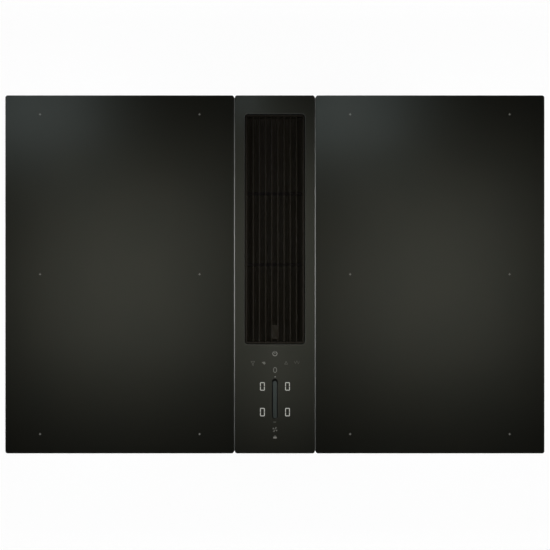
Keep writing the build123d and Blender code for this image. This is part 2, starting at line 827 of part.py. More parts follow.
driver_bottom = base_level + box_wall + board_post_height
driver_plate = board(driver_bottom, box_centre, driver_width, driver_length)
with BuildPart() as driver_board:
    add(driver_plate)
    with BuildSketch(Plane((box_centre[0], box_centre[1], driver_bottom + board_thickness))):
        with Locations((-driver_width / 4, driver_length / 4)):
            with GridLocations(capacitor_pitch, capacitor_pitch, 2, 2):
                Circle(capacitor_radius)
    extrude(amount=capacitor_height)
save(driver_board.part, "driver_board")


# Control unit under the front of the centre glass

neck_front = inlet_centre_y - neck_length / 2
control_front = -housing_depth / 2
control_back = neck_front - neck_flange_width - control_box_gap
control_centre = (0, (control_front + control_back) / 2)
control_length = control_back - control_front
control_box_width = centre_glass_width - 2 * (seal_inset + seal_width + control_box_side_gap)
control_tray = open_tray(
    glass_bottom - control_box_height,
    control_centre,
    (control_box_width, control_length, control_box_height),
    control_box_wall,
    control_box_corner_radius,
)
with BuildPart() as control_housing:
    add(control_tray)
    post_level = glass_bottom - control_box_height + control_box_wall
    with BuildSketch(Plane((0, control_centre[1], post_level))):
        board_posts(control_box_width, control_length)
    extrude(amount=glass_bottom - control_board_drop - board_thickness - post_level)
    clamp_lugs([(0, -clamp_axis_y)], clamp_axis_from_wall + control_box_wall / 2)
save(control_housing.part, "control_housing")

board_inset = control_box_wall + control_board_margin
save(
    board(
        glass_bottom - control_board_drop - board_thickness,
        control_centre,
        control_box_width - 2 * board_inset,
        control_length - 2 * board_inset,
    ),
    "control_board",
)

with BuildPart() as display_modules:
    with BuildSketch(Plane((0, slider_centre_y, glass_bottom - control_board_drop))):
        with GridLocations(digit_spacing_x, digit_spacing_y, 2, 2):
            Rectangle(digit_module_width, digit_module_length)
        SlotOverall(slider_length + slider_width, slider_width, rotation=90)
    extrude(amount=control_board_drop)
save(display_modules.part, "display_modules")


# Induction modules. Each piece is built once, on the centre line of the right module,
# and the left module is its mirror image.

def place(piece, side):
    if side == "left":
        return mirror(piece, about=Plane.YZ).moved(Location((-side_centre_x, 0, 0)))
    return piece.moved(Location((side_centre_x, 0, 0)))


def save_pair(piece, name):
    for side in ("left", "right"):
        save(place(piece, side), f"{side}_{name}")


housing_lip = glass_bottom - housing_wall
terminal_x = housing_width / 2 - terminal_from_side - terminal_width / 2
terminal_y = housing_depth / 2 - terminal_from_back - terminal_length / 2
gland_centre = (terminal_x - gland_from_terminal[0], terminal_y + gland_from_terminal[1])
power_x = housing_wall + power_board_from_side + power_board_width / 2 - housing_width / 2
power_y = power_board_from_front + power_board_length / 2 - housing_depth / 2
fan_x = housing_width / 2 - cooling_fan_from_side - cooling_fan_size / 2
fan_y = housing_depth / 2 - cooling_fan_from_back - cooling_fan_size / 2
power_bottom = housing_floor + board_post_height
housing_size = (housing_width, housing_depth, housing_height)
housing_tray = open_tray(housing_bottom, (0, 0), housing_size, housing_wall, housing_corner_radius)
with BuildPart() as housing:
    add(housing_tray)
    with BuildSketch(Plane.XY.offset(housing_lip)):
        RectangleRounded(housing_width, housing_depth, housing_corner_radius)
        Rectangle(housing_width - 2 * housing_rim, housing_depth - 2 * housing_rim, mode=Mode.SUBTRACT)
    extrude(amount=housing_wall)
    with BuildSketch(Plane.XY.offset(housing_bottom)):
        with Locations((fan_x, fan_y)):
            with GridLocations(0, vent_slot_pitch, 1, vent_slots):
                Rectangle(vent_slot_length, vent_slot_width)
        with Locations(gland_centre):
            Circle(gland_body_radius)
    extrude(amount=housing_wall, mode=Mode.SUBTRACT)
    with BuildSketch(Plane.XZ.offset(housing_depth / 2)):
        with Locations((0, (housing_bottom + glass_bottom) / 2)):
            with GridLocations(exhaust_slot_pitch, vent_slot_pitch, exhaust_slots, 2):
                Rectangle(exhaust_slot_length, exhaust_slot_width)
    extrude(amount=-housing_wall, mode=Mode.SUBTRACT)
    with BuildSketch(Plane((power_x, power_y, housing_floor))):
        board_posts(power_board_width, power_board_length)
    extrude(amount=board_post_height)
    housing_clamps = [
        (place_x, place_y)
        for place_x in (-clamp_spacing_x / 2, clamp_spacing_x / 2)
        for place_y in (-clamp_axis_y, clamp_axis_y)
    ]
    clamp_lugs(housing_clamps, clamp_axis_from_wall + housing_wall / 2)
save_pair(housing.part, "housing")

inner_width = housing_width - 2 * housing_rim
inner_depth = housing_depth - 2 * housing_rim
with BuildPart() as mica_sheet:
    with BuildSketch(Plane.XY.offset(mica_bottom)):
        Rectangle(inner_width - 2 * mica_margin, inner_depth - 2 * mica_margin)
    extrude(amount=mica_thickness)
save_pair(mica_sheet.part, "mica_sheet")

coil_pitch = inner_depth / coil_count
coil_length = coil_pitch - coil_gap
coil_width = inner_width - 2 * coil_side_margin
coil_corner_radius = (coil_length - coil_end_flat) / 2
coil_places = GridLocations(0, coil_pitch, 1, coil_count)
band_inner_width = coil_width - 2 * coil_band
band_inner_length = coil_length - 2 * coil_band
band_inner_radius = coil_corner_radius - coil_band
with BuildPart() as coil_windings:
    with BuildSketch(Plane.XY.offset(winding_bottom)):
        with coil_places:
            RectangleRounded(coil_width, coil_length, coil_corner_radius)
        with coil_places:
            RectangleRounded(band_inner_width, band_inner_length, band_inner_radius, mode=Mode.SUBTRACT)
    extrude(amount=winding_thickness)
save_pair(coil_windings.part, "coil_windings")

with BuildPart() as coil_formers:
    with BuildSketch(Plane.XY.offset(former_bottom)):
        with coil_places:
            RectangleRounded(coil_width + 2 * former_rim, coil_length + 2 * former_rim, former_corner_radius)
        with coil_places:
            Circle(carrier_hole_radius, mode=Mode.SUBTRACT)
    extrude(amount=former_thickness)
    with BuildSketch(Plane.XY.offset(winding_bottom)):
        with coil_places:
            RectangleRounded(
                band_inner_width - former_rim,
                band_inner_length - former_rim,
                band_inner_radius - former_rim / 2,
            )
        with coil_places:
            Circle(carrier_hole_radius, mode=Mode.SUBTRACT)
    extrude(amount=winding_thickness)
save_pair(coil_formers.part, "coil_formers")

with BuildPart() as ferrite_bars:
    with BuildSketch(Plane.XY.offset(ferrite_bottom)):
        for coil in coil_places.locations:
            with Locations(coil):
                with GridLocations(ferrite_pitch, coil_length - ferrite_length, 3, 2):
                    Rectangle(ferrite_width, ferrite_length)
                with GridLocations(coil_width - ferrite_length, 0, 2, 1):
                    Rectangle(ferrite_length, ferrite_width)
    extrude(amount=ferrite_thickness)
save_pair(ferrite_bars.part, "ferrite_bars")

with BuildPart() as coil_carrier:
    with BuildSketch(Plane.XY.offset(carrier_bottom)):
        Rectangle(inner_width - 2 * carrier_margin, inner_depth - 2 * carrier_margin)
        with coil_places:
            Circle(carrier_hole_radius, mode=Mode.SUBTRACT)
    extrude(amount=carrier_thickness)
save_pair(coil_carrier.part, "coil_carrier")

# Leaf springs that press the coil carrier up against the glass
spring_height = carrier_bottom - housing_floor
spring_leg = spring_thickness / sin(radians(spring_leg_angle))
spring_places = GridLocations(inner_width - 2 * spring_from_side, inner_depth - 2 * spring_from_end, 2, 2)
low_middle = (Align.CENTER, Align.MIN)
with BuildPart() as leaf_springs:
    for spring_place in spring_places.locations:
        spring_x, spring_y, _ = spring_place.position
        spring_origin = (spring_x, spring_y + spring_width / 2, housing_floor)
        with BuildSketch(Plane(spring_origin, x_dir=(1, 0, 0), z_dir=(0, -1, 0))):
            Trapezoid(spring_length, spring_height, spring_leg_angle, align=low_middle)
            Trapezoid(
                spring_length - 2 * spring_leg,
                spring_height - spring_thickness,
                spring_leg_angle,
                align=low_middle,
                mode=Mode.SUBTRACT,
            )
        extrude(amount=spring_width)
spring_sets = [place(leaf_springs.part, side) for side in ("left", "right")]
with BuildPart() as carrier_springs:
    add(spring_sets)
save(carrier_springs.part, "carrier_springs")

power_top = power_bottom + board_thickness
power_plate = board(power_bottom, (power_x, power_y), power_board_width, power_board_length)
with BuildPart() as power_board:
    add(power_plate)
    capacitor_y = power_y + power_board_length / 2 - capacitor_pitch
    with BuildSketch(Plane((power_x, capacitor_y, power_top))):
        with GridLocations(capacitor_pitch, capacitor_pitch, 3, 1):
            Circle(capacitor_radius)
    extrude(amount=capacitor_height)
save_pair(power_board.part, "power_board")

fin_pitch = (heat_sink_width - heat_sink_fin_thickness) / (heat_sink_fins - 1)
heat_sink_front = power_y + heat_sink_shift_y + heat_sink_length / 2
with BuildPart() as heat_sink:
    with BuildSketch(Plane((power_x, heat_sink_front, power_top), x_dir=(1, 0, 0), z_dir=(0, -1, 0))):
        Rectangle(heat_sink_width, heat_sink_base, align=low_middle)
        with GridLocations(fin_pitch, 0, heat_sink_fins, 1):
            Rectangle(heat_sink_fin_thickness, heat_sink_height, align=low_middle)
    extrude(amount=heat_sink_length)
save_pair(heat_sink.part, "heat_sink")

with BuildPart() as fan_frame:
    with BuildSketch(Plane((fan_x, fan_y, housing_floor))):
        RectangleRounded(cooling_fan_size, cooling_fan_size, housing_corner_radius)
        Circle(cooling_fan_bore_radius, mode=Mode.SUBTRACT)
    extrude(amount=cooling_fan_height)
    with BuildSketch(Plane((fan_x, fan_y, housing_floor))):
        Circle(cooling_fan_hub_radius)
        with PolarLocations(0, 2, angular_range=180):
            Rectangle(2 * cooling_fan_bore_radius + cooling_fan_base, cooling_fan_arm_width, rotation=45)
    extrude(amount=cooling_fan_base)
    with BuildSketch(Plane((fan_x, fan_y, housing_floor))):
        Circle(cooling_fan_pin_radius)
    extrude(amount=cooling_fan_height - cooling_fan_base)
save_pair(fan_frame.part, "fan_frame")

rotor_level = housing_floor + cooling_fan_base + cooling_fan_hub_gap
rotor_height = cooling_fan_height - cooling_fan_base - 2 * cooling_fan_hub_gap
rotor_reach = cooling_fan_bore_radius - cooling_fan_tip_gap
cooling_blade_root = cooling_fan_hub_radius - cooling_fan_base
with BuildSketch() as cooling_blade:
    with BuildLine():
        ThreePointArc(
            (cooling_blade_root, 0),
            (rotor_reach / 2 + cooling_blade_root / 2, -cooling_fan_arm_width),
            (rotor_reach - cooling_fan_blade_thickness, -cooling_fan_arm_width / 2),
        )
    trace(line_width=cooling_fan_blade_thickness)
with BuildPart() as fan_rotor:
    with BuildSketch(Plane((fan_x, fan_y, rotor_level))):
        Circle(cooling_fan_hub_radius)
    extrude(amount=rotor_height)
    with BuildSketch(Plane((fan_x, fan_y, rotor_level))):
        with PolarLocations(0, cooling_fan_blades):
            add(cooling_blade.sketch)
    extrude(amount=rotor_height - cooling_fan_hub_gap)
    with BuildSketch(Plane((fan_x, fan_y, rotor_level))):
        Circle(cooling_fan_pin_radius + running_clearance)
    extrude(amount=rotor_height - cooling_fan_base / 2, mode=Mode.SUBTRACT)
save_pair(fan_rotor.part, "fan_rotor")

with BuildPart() as terminal_block:
    with BuildSketch(Plane((terminal_x, terminal_y, housing_floor))):
        Rectangle(terminal_width, terminal_length)
    extrude(amount=terminal_height)
    with BuildSketch(Plane((terminal_x, terminal_y, housing_floor + terminal_height))):
        with GridLocations(terminal_pitch, 0, terminal_ways, 1):
            Rectangle(*terminal_pocket)
    extrude(amount=-terminal_height / 2, mode=Mode.SUBTRACT)
save_pair(terminal_block.part, "terminal_block")


# Cable glands: one through the floor of each induction housing, one in the electronics box

def gland(face_plane, wall):
    # Hollow gland through a wall; the plane lies on the wall's outer face and looks outward.
    with BuildPart() as body:
        with BuildSketch(face_plane.offset(-wall - gland_nut_height)):
            Circle(gland_body_radius)
        extrude(amount=wall + gland_nut_height + gland_body_length)
        for nut_start in (-wall - gland_nut_height, 0):
            with BuildSketch(face_plane.offset(nut_start)):
                RegularPolygon(gland_nut_radius, 6)
            extrude(amount=gland_nut_height)
        with BuildSketch(face_plane.offset(-wall - gland_nut_height)):
            Circle(gland_bore_radius)
        extrude(amount=wall + gland_nut_height + gland_body_length, mode=Mode.SUBTRACT)
    return body.part


housing_gland_plane = Plane((*gland_centre, housing_bottom), x_dir=(1, 0, 0), z_dir=(0, 0, -1))
housing_gland = gland(housing_gland_plane, housing_wall)
gland_set = [place(housing_gland, "left"), place(housing_gland, "right"), gland(box_gland_plane, box_wall)]
with BuildPart() as cable_glands:
    add(gland_set)
save(cable_glands.part, "cable_glands")


# Mounting clamps, each on its own vertical screw

clamp_places = {"centre_front": (0, -clamp_axis_y), "centre_rear": (0, clamp_axis_y)}
for side, side_sign in (("left", -1), ("right", 1)):
    for end, end_sign in (("front", -1), ("rear", 1)):
        for rank, rank_sign in (("inner", -1), ("outer", 1)):
            clamp_x = side_sign * (side_centre_x + rank_sign * clamp_spacing_x / 2)
            clamp_places[f"{side}_{end}_{rank}"] = (clamp_x, end_sign * clamp_axis_y)

with BuildPart() as screws:
    with BuildSketch(Plane.XY.offset(clamp_lug_bottom)):
        with Locations(*clamp_places.values()):
            RegularPolygon(clamp_screw_head_radius, 6)
    extrude(amount=-clamp_screw_head_height)
    with BuildSketch(Plane.XY.offset(clamp_lug_bottom)):
        with Locations(*clamp_places.values()):
            Circle(clamp_screw_radius)
    extrude(amount=clamp_lug_top + clamp_lug_thickness - clamp_lug_bottom)
    with BuildSketch(Plane((0, casing_centre_y, casing_roof))):
        with post_places:
            RegularPolygon(shell_screw_head_radius, 6)
    extrude(amount=shell_screw_head_height)
    with BuildSketch(Plane((0, casing_centre_y, casing_roof))):
        with post_places:
            Circle(shell_screw_radius)
    extrude(amount=-casing_drop_below_roof - shell_screw_grip)
save(screws.part, "screws")


def clamp(centre, outward):
    # Hub on the screw, a bar along the wall and an upturned tip; outward is the bar's direction along X.
    centre_x, centre_y = centre
    arm_level = clamp_hub_bottom + clamp_arm_rise
    tip_x = centre_x + outward * (clamp_arm_length - clamp_tip_length / 2)
    with BuildPart() as piece:
        with BuildSketch(Plane((centre_x, centre_y, clamp_hub_bottom))):
            Circle(clamp_hub_radius)
        extrude(amount=clamp_hub_height)
        with BuildSketch(Plane((centre_x + outward * clamp_arm_length / 2, centre_y, arm_level))):
            Rectangle(clamp_arm_length, clamp_arm_width)
        extrude(amount=clamp_arm_thickness)
        with BuildSketch(Plane((tip_x, centre_y, arm_level + clamp_arm_thickness))):
            Rectangle(clamp_tip_length, clamp_arm_width)
        extrude(amount=clamp_tip_height)
        with BuildSketch(Plane((centre_x, centre_y, clamp_hub_bottom))):
            Circle(clamp_screw_radius + running_clearance)
        extrude(amount=clamp_hub_height, mode=Mode.SUBTRACT)
    return piece.part


for clamp_name, clamp_centre in clamp_places.items():
    save(clamp(clamp_centre, -1 if clamp_centre[0] < 0 else 1), f"{clamp_name}_clamp")
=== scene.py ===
import json
import math

import bmesh
import bpy
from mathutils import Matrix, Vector


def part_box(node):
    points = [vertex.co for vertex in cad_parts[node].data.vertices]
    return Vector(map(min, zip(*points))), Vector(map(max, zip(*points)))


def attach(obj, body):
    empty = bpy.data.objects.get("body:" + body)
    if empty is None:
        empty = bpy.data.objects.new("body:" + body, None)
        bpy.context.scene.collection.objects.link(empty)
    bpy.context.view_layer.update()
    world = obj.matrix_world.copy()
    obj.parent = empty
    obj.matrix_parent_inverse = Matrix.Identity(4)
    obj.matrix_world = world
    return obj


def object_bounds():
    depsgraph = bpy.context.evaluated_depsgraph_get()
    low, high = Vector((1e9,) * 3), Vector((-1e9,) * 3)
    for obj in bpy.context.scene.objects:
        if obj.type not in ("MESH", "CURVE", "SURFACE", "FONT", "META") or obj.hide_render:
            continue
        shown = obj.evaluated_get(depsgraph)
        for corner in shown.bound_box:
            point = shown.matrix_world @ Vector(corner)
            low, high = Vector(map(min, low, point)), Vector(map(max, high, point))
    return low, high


# Dresses the downdraft induction cooktop: black ceramic glass, lit touch controls, inlet nozzle and the
# casings below the worktop. Metres, +X right, +Y back, +Z up, worktop surface at zero.

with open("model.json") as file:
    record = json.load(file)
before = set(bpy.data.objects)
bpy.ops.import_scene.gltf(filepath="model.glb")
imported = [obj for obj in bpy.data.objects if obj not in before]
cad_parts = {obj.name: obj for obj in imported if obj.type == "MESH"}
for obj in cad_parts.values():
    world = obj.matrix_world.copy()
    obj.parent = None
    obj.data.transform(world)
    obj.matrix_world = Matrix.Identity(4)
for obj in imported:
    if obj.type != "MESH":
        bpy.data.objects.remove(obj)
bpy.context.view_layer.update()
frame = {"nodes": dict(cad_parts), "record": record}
nodes = frame["nodes"]
mm = 0.001
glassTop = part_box("centre_glass")[1].z
print("frame loaded:", len(nodes), "nodes")


def fromSrgb(red, green, blue):
    # Screen colour 0-255 to the linear colour that shaders use.
    def channel(value):
        value /= 255
        return value / 12.92 if value <= 0.04045 else ((value + 0.055) / 1.055) ** 2.4
    return (channel(red), channel(green), channel(blue), 1.0)


# Shared surface effects

def newGroup(name, inputs, outputs):
    group = bpy.data.node_groups.new(name, "ShaderNodeTree")
    for title, default in inputs:
        socket = group.interface.new_socket(name=title, in_out="INPUT", socket_type="NodeSocketFloat")
        socket.default_value = default
    for title in outputs:
        group.interface.new_socket(name=title, in_out="OUTPUT", socket_type="NodeSocketFloat")
    start = group.nodes.new("NodeGroupInput")
    end = group.nodes.new("NodeGroupOutput")
    return group, start, end


def objectPoint(tree):
    return tree.nodes.new("ShaderNodeTexCoord").outputs["Object"]


def noiseNode(tree, point, scale, detail=2.0, roughness=0.5):
    node = tree.nodes.new("ShaderNodeTexNoise")
    node.inputs["Detail"].default_value = detail
    node.inputs["Roughness"].default_value = roughness
    if isinstance(scale, (int, float)):
        node.inputs["Scale"].default_value = scale
    else:
        tree.links.new(scale, node.inputs["Scale"])
    tree.links.new(point, node.inputs["Vector"])
    return node


def rangeNode(tree, value, fromLow, fromHigh, toLow, toHigh):
    node = tree.nodes.new("ShaderNodeMapRange")
    ends = {"From Min": fromLow, "From Max": fromHigh, "To Min": toLow, "To Max": toHigh}
    for title, number in ends.items():
        node.inputs[title].default_value = number
    tree.links.new(value, node.inputs["Value"])
    return node.outputs["Result"]


def mathNode(tree, operation, first, second):
    node = tree.nodes.new("ShaderNodeMath")
    node.operation = operation
    for socket, value in zip(node.inputs, (first, second)):
        if isinstance(value, (int, float)):
            socket.default_value = value
        else:
            tree.links.new(value, socket)
    return node.outputs[0]


grainEffect = {"scale": 2500.0, "detail": 3.0, "roughness": 0.6, "cloudScale": 14.0, "cloudRoughness": 0.55}


def makeMouldedGrain():
    # Fine spark-eroded texture of injection mouldings, with faint cloudy handling marks.
    group, start, end = newGroup("mouldedGrain", [("Scale", grainEffect["scale"])], ["Height", "Cloud"])
    point = objectPoint(group)
    detail = grainEffect["detail"]
    grain = noiseNode(group, point, start.outputs["Scale"], detail, grainEffect["roughness"])
    cloud = noiseNode(group, point, grainEffect["cloudScale"], detail, grainEffect["cloudRoughness"])
    group.links.new(grain.outputs["Fac"], end.inputs["Height"])
    group.links.new(cloud.outputs["Fac"], end.inputs["Cloud"])
    return group


spangleEffect = {"scale": 90.0, "warpScale": 60.0, "warp": 0.02, "fineScale": 900.0}


def makeZincSpangle():
    # Crystal flakes of hot-dip galvanising: each flake has its own grey and its own sheen.
    group, start, end = newGroup("zincSpangle", [("Scale", spangleEffect["scale"])], ["Flake", "Height"])
    point = objectPoint(group)
    warp = noiseNode(group, point, spangleEffect["warpScale"])
    shift = group.nodes.new("ShaderNodeMix")
    shift.data_type = "VECTOR"
    shift.inputs["Factor"].default_value = spangleEffect["warp"]
    group.links.new(point, shift.inputs[4])
    group.links.new(warp.outputs["Color"], shift.inputs[5])
    flakes = group.nodes.new("ShaderNodeTexVoronoi")
    flakes.inputs["Randomness"].default_value = 1.0
    group.links.new(shift.outputs[1], flakes.inputs["Vector"])
    group.links.new(start.outputs["Scale"], flakes.inputs["Scale"])
    tone = group.nodes.new("ShaderNodeSeparateColor")
    group.links.new(flakes.outputs["Color"], tone.inputs["Color"])
    fine = noiseNode(group, point, spangleEffect["fineScale"])
    group.links.new(tone.outputs["Red"], end.inputs["Flake"])
    group.links.new(fine.outputs["Fac"], end.inputs["Height"])
    return group


rolledEffect = {"scale": 400.0, "stretch": (1.0, 0.02, 1.0), "roughness": 0.6, "cloudScale": 20.0}


def makeRolledMetal():
    # Long fine rolling or drawing marks along Y.
    group, start, end = newGroup("rolledMetal", [("Scale", rolledEffect["scale"])], ["Marks", "Cloud"])
    point = objectPoint(group)
    stretch = group.nodes.new("ShaderNodeMapping")
    stretch.inputs["Scale"].default_value = rolledEffect["stretch"]
    group.links.new(point, stretch.inputs["Vector"])
    lengthwise = stretch.outputs["Vector"]
    marks = noiseNode(group, lengthwise, start.outputs["Scale"], roughness=rolledEffect["roughness"])
    cloud = noiseNode(group, point, rolledEffect["cloudScale"])
    group.links.new(marks.outputs["Fac"], end.inputs["Marks"])
    group.links.new(cloud.outputs["Fac"], end.inputs["Cloud"])
    return group


mouldedGrain = makeMouldedGrain()
zincSpangle = makeZincSpangle()
rolledMetal = makeRolledMetal()


# Materials

def startMaterial(name):
    material = bpy.data.materials.new(name)
    material.use_nodes = True
    tree = material.node_tree
    shader = tree.nodes["Principled BSDF"]
    return material, tree, shader


def placeGroup(tree, group, scale):
    node = tree.nodes.new("ShaderNodeGroup")
    node.node_tree = group
    node.inputs["Scale"].default_value = scale
    return node


def bumpFrom(tree, shader, height, strength, distance):
    bump = tree.nodes.new("ShaderNodeBump")
    bump.inputs["Strength"].default_value = strength
    bump.inputs["Distance"].default_value = distance
    tree.links.new(height, bump.inputs["Height"])
    tree.links.new(bump.outputs["Normal"], shader.inputs["Normal"])


def shaded(colour, share):
    # The darker companion of a colour.
    return tuple(share * part for part in colour[:3]) + (1.0,)


def colourBetween(tree, factor, low, high):
    mix = tree.nodes.new("ShaderNodeMix")
    mix.data_type = "RGBA"
    mix.inputs[6].default_value = low
    mix.inputs[7].default_value = high
    tree.links.new(factor, mix.inputs["Factor"])
    return mix.outputs[2]


plasticLook = {"shade": 0.82, "smoother": 0.06, "rougher": 0.08, "bumpDepth": 0.0002}
metalLook = {"shade": 0.78, "spread": 0.12, "bump": 0.12, "bumpDepth": 0.0002}
zincLook = {"shade": 0.7, "smoothest": 0.3, "roughest": 0.5, "bump": 0.1, "bumpDepth": 0.0002}


def plasticMaterial(name, colour, roughness, grain, bump, shine=0.5):
    material, tree, shader = startMaterial(name)
    shader.inputs["Specular IOR Level"].default_value = shine
    effect = placeGroup(tree, mouldedGrain, grain)
    cloud = effect.outputs["Cloud"]
    tone = colourBetween(tree, cloud, shaded(colour, plasticLook["shade"]), colour)
    tree.links.new(tone, shader.inputs["Base Color"])
    smoothest, roughest = roughness - plasticLook["smoother"], roughness + plasticLook["rougher"]
    rough = rangeNode(tree, cloud, 0.25, 0.75, smoothest, roughest)
    tree.links.new(rough, shader.inputs["Roughness"])
    bumpFrom(tree, shader, effect.outputs["Height"], bump, plasticLook["bumpDepth"])
    return material


def metalMaterial(name, colour, roughness, scale):
    material, tree, shader = startMaterial(name)
    shader.inputs["Metallic"].default_value = 1.0
    effect = placeGroup(tree, rolledMetal, scale)
    tone = colourBetween(tree, effect.outputs["Cloud"], shaded(colour, metalLook["shade"]), colour)
    tree.links.new(tone, shader.inputs["Base Color"])
    smoothest, roughest = roughness - metalLook["spread"], roughness + metalLook["spread"]
    rough = rangeNode(tree, effect.outputs["Marks"], 0.3, 0.7, smoothest, roughest)
    tree.links.new(rough, shader.inputs["Roughness"])
    bumpFrom(tree, shader, effect.outputs["Marks"], metalLook["bump"], metalLook["bumpDepth"])
    return material


def zincMaterial(name, colour):
    material, tree, shader = startMaterial(name)
    shader.inputs["Metallic"].default_value = 1.0
    effect = placeGroup(tree, zincSpangle, spangleEffect["scale"])
    flake = effect.outputs["Flake"]
    tone = colourBetween(tree, flake, shaded(colour, zincLook["shade"]), colour)
    tree.links.new(tone, shader.inputs["Base Color"])
    rough = rangeNode(tree, flake, 0.0, 1.0, zincLook["smoothest"], zincLook["roughest"])
    tree.links.new(rough, shader.inputs["Roughness"])
    bumpFrom(tree, shader, effect.outputs["Height"], zincLook["bump"], zincLook["bumpDepth"])
    return material


glassLook = {
    "deep": fromSrgb(38, 39, 35),
    "pale": fromSrgb(41, 41, 36),
    "roughness": 0.07,
    "shine": 0.3,
    "swing": 0.02,                # how far the roughness drifts to either side
    "grain": 60.0,
    "edgeTone": fromSrgb(52, 53, 51),
    "edgeRoughness": 0.42,
    "edgeSlope": (0.25, 0.55),    # upright share of a face's normal, from edge to top
}


def glassMaterial(name):
    # Black ceramic glass: a nearly even body colour under a polished surface.
    material, tree, shader = startMaterial(name)
    shader.inputs["Specular IOR Level"].default_value = glassLook["shine"]
    effect = placeGroup(tree, mouldedGrain, glassLook["grain"])
    tone = colourBetween(tree, effect.outputs["Cloud"], glassLook["deep"], glassLook["pale"])
    # Upright faces are the ground edges: satin, a little paler than the polished top.
    facing = tree.nodes.new("ShaderNodeNewGeometry")
    split = tree.nodes.new("ShaderNodeSeparateXYZ")
    tree.links.new(facing.outputs["Normal"], split.inputs["Vector"])
    flat = mathNode(tree, "ABSOLUTE", split.outputs["Z"], 0.0)
    ground = rangeNode(tree, flat, *glassLook["edgeSlope"], 1.0, 0.0)
    mixed = tree.nodes.new("ShaderNodeMix")
    mixed.data_type = "RGBA"
    mixed.inputs[7].default_value = glassLook["edgeTone"]
    tree.links.new(ground, mixed.inputs["Factor"])
    tree.links.new(tone, mixed.inputs[6])
    tree.links.new(mixed.outputs[2], shader.inputs["Base Color"])
    smoothest = glassLook["roughness"] - glassLook["swing"]
    roughest = glassLook["roughness"] + glassLook["swing"]
    polished = rangeNode(tree, effect.outputs["Cloud"], 0.2, 0.8, smoothest, roughest)
    satin = mathNode(tree, "MULTIPLY", ground, glassLook["edgeRoughness"])
    tree.links.new(mathNode(tree, "MAXIMUM", polished, satin), shader.inputs["Roughness"])
    return material


coilLook = {
    "dark": (0.16, 0.05, 0.018, 1.0),
    "bright": (0.55, 0.22, 0.08, 1.0),
    "metallic": 0.7,
    "roughness": (0.3, 0.45),
    "ridges": 220.0,
    "waviness": 1.5,
    "bump": 0.4,
    "bumpDepth": 0.0004,
    "grain": 1800.0,
}


def coilMaterial(name):
    # Enamelled litz wire: fine wavy ridges in parallel bands across each coil.
    material, tree, shader = startMaterial(name)
    effect = placeGroup(tree, mouldedGrain, coilLook["grain"])
    wave = tree.nodes.new("ShaderNodeTexWave")
    wave.inputs["Scale"].default_value = coilLook["ridges"]
    wave.inputs["Distortion"].default_value = coilLook["waviness"]
    tree.links.new(objectPoint(tree), wave.inputs["Vector"])
    tone = colourBetween(tree, wave.outputs["Fac"], coilLook["dark"], coilLook["bright"])
    tree.links.new(tone, shader.inputs["Base Color"])
    shader.inputs["Metallic"].default_value = coilLook["metallic"]
    rough = rangeNode(tree, effect.outputs["Cloud"], 0.2, 0.8, *coilLook["roughness"])
    tree.links.new(rough, shader.inputs["Roughness"])
    bumpFrom(tree, shader, wave.outputs["Fac"], coilLook["bump"], coilLook["bumpDepth"])
    return material


boardLook = {
    "resist": (0.012, 0.075, 0.03, 1.0),
    "secondResist": (0.016, 0.095, 0.038, 1.0),
    "track": (0.03, 0.16, 0.06, 1.0),
    "trackWidth": 0.06,
    "scale": 45.0,
    "roughness": (0.28, 0.42),
    "bump": 0.2,
    "bumpDepth": 0.0001,
    "grain": 900.0,
}


def boardMaterial(name):
    # Green solder resist with paler copper tracks under it.
    material, tree, shader = startMaterial(name)
    tracks = tree.nodes.new("ShaderNodeTexBrick")
    tracks.inputs["Scale"].default_value = boardLook["scale"]
    tracks.inputs["Mortar Size"].default_value = boardLook["trackWidth"]
    tracks.inputs["Color1"].default_value = boardLook["resist"]
    tracks.inputs["Color2"].default_value = boardLook["secondResist"]
    tracks.inputs["Mortar"].default_value = boardLook["track"]
    tree.links.new(objectPoint(tree), tracks.inputs["Vector"])
    tree.links.new(tracks.outputs["Color"], shader.inputs["Base Color"])
    effect = placeGroup(tree, mouldedGrain, boardLook["grain"])
    rough = rangeNode(tree, effect.outputs["Cloud"], 0.2, 0.8, *boardLook["roughness"])
    tree.links.new(rough, shader.inputs["Roughness"])
    bumpFrom(tree, shader, tracks.outputs["Fac"], boardLook["bump"], boardLook["bumpDepth"])
    return material


markLook = {"shade": 0.9, "under": (0.01, 0.01, 0.01, 1.0), "roughness": 0.5, "grain": 1200.0}


def lampMaterial(name, red, green, blue):
    # Lit or printed mark by its screen colour, and the painted highlight at the slider's front end: plain,
    # with a faint unevenness.
    material, tree, shader = startMaterial(name)
    effect = placeGroup(tree, mouldedGrain, markLook["grain"])
    colour = fromSrgb(red, green, blue)
    tone = colourBetween(tree, effect.outputs["Cloud"], shaded(colour, markLook["shade"]), colour)
    tree.links.new(tone, shader.inputs["Emission Color"])
    shader.inputs["Emission Strength"].default_value = 1.0
    shader.inputs["Base Color"].default_value = markLook["under"]
    shader.inputs["Roughness"].default_value = markLook["roughness"]
    return material


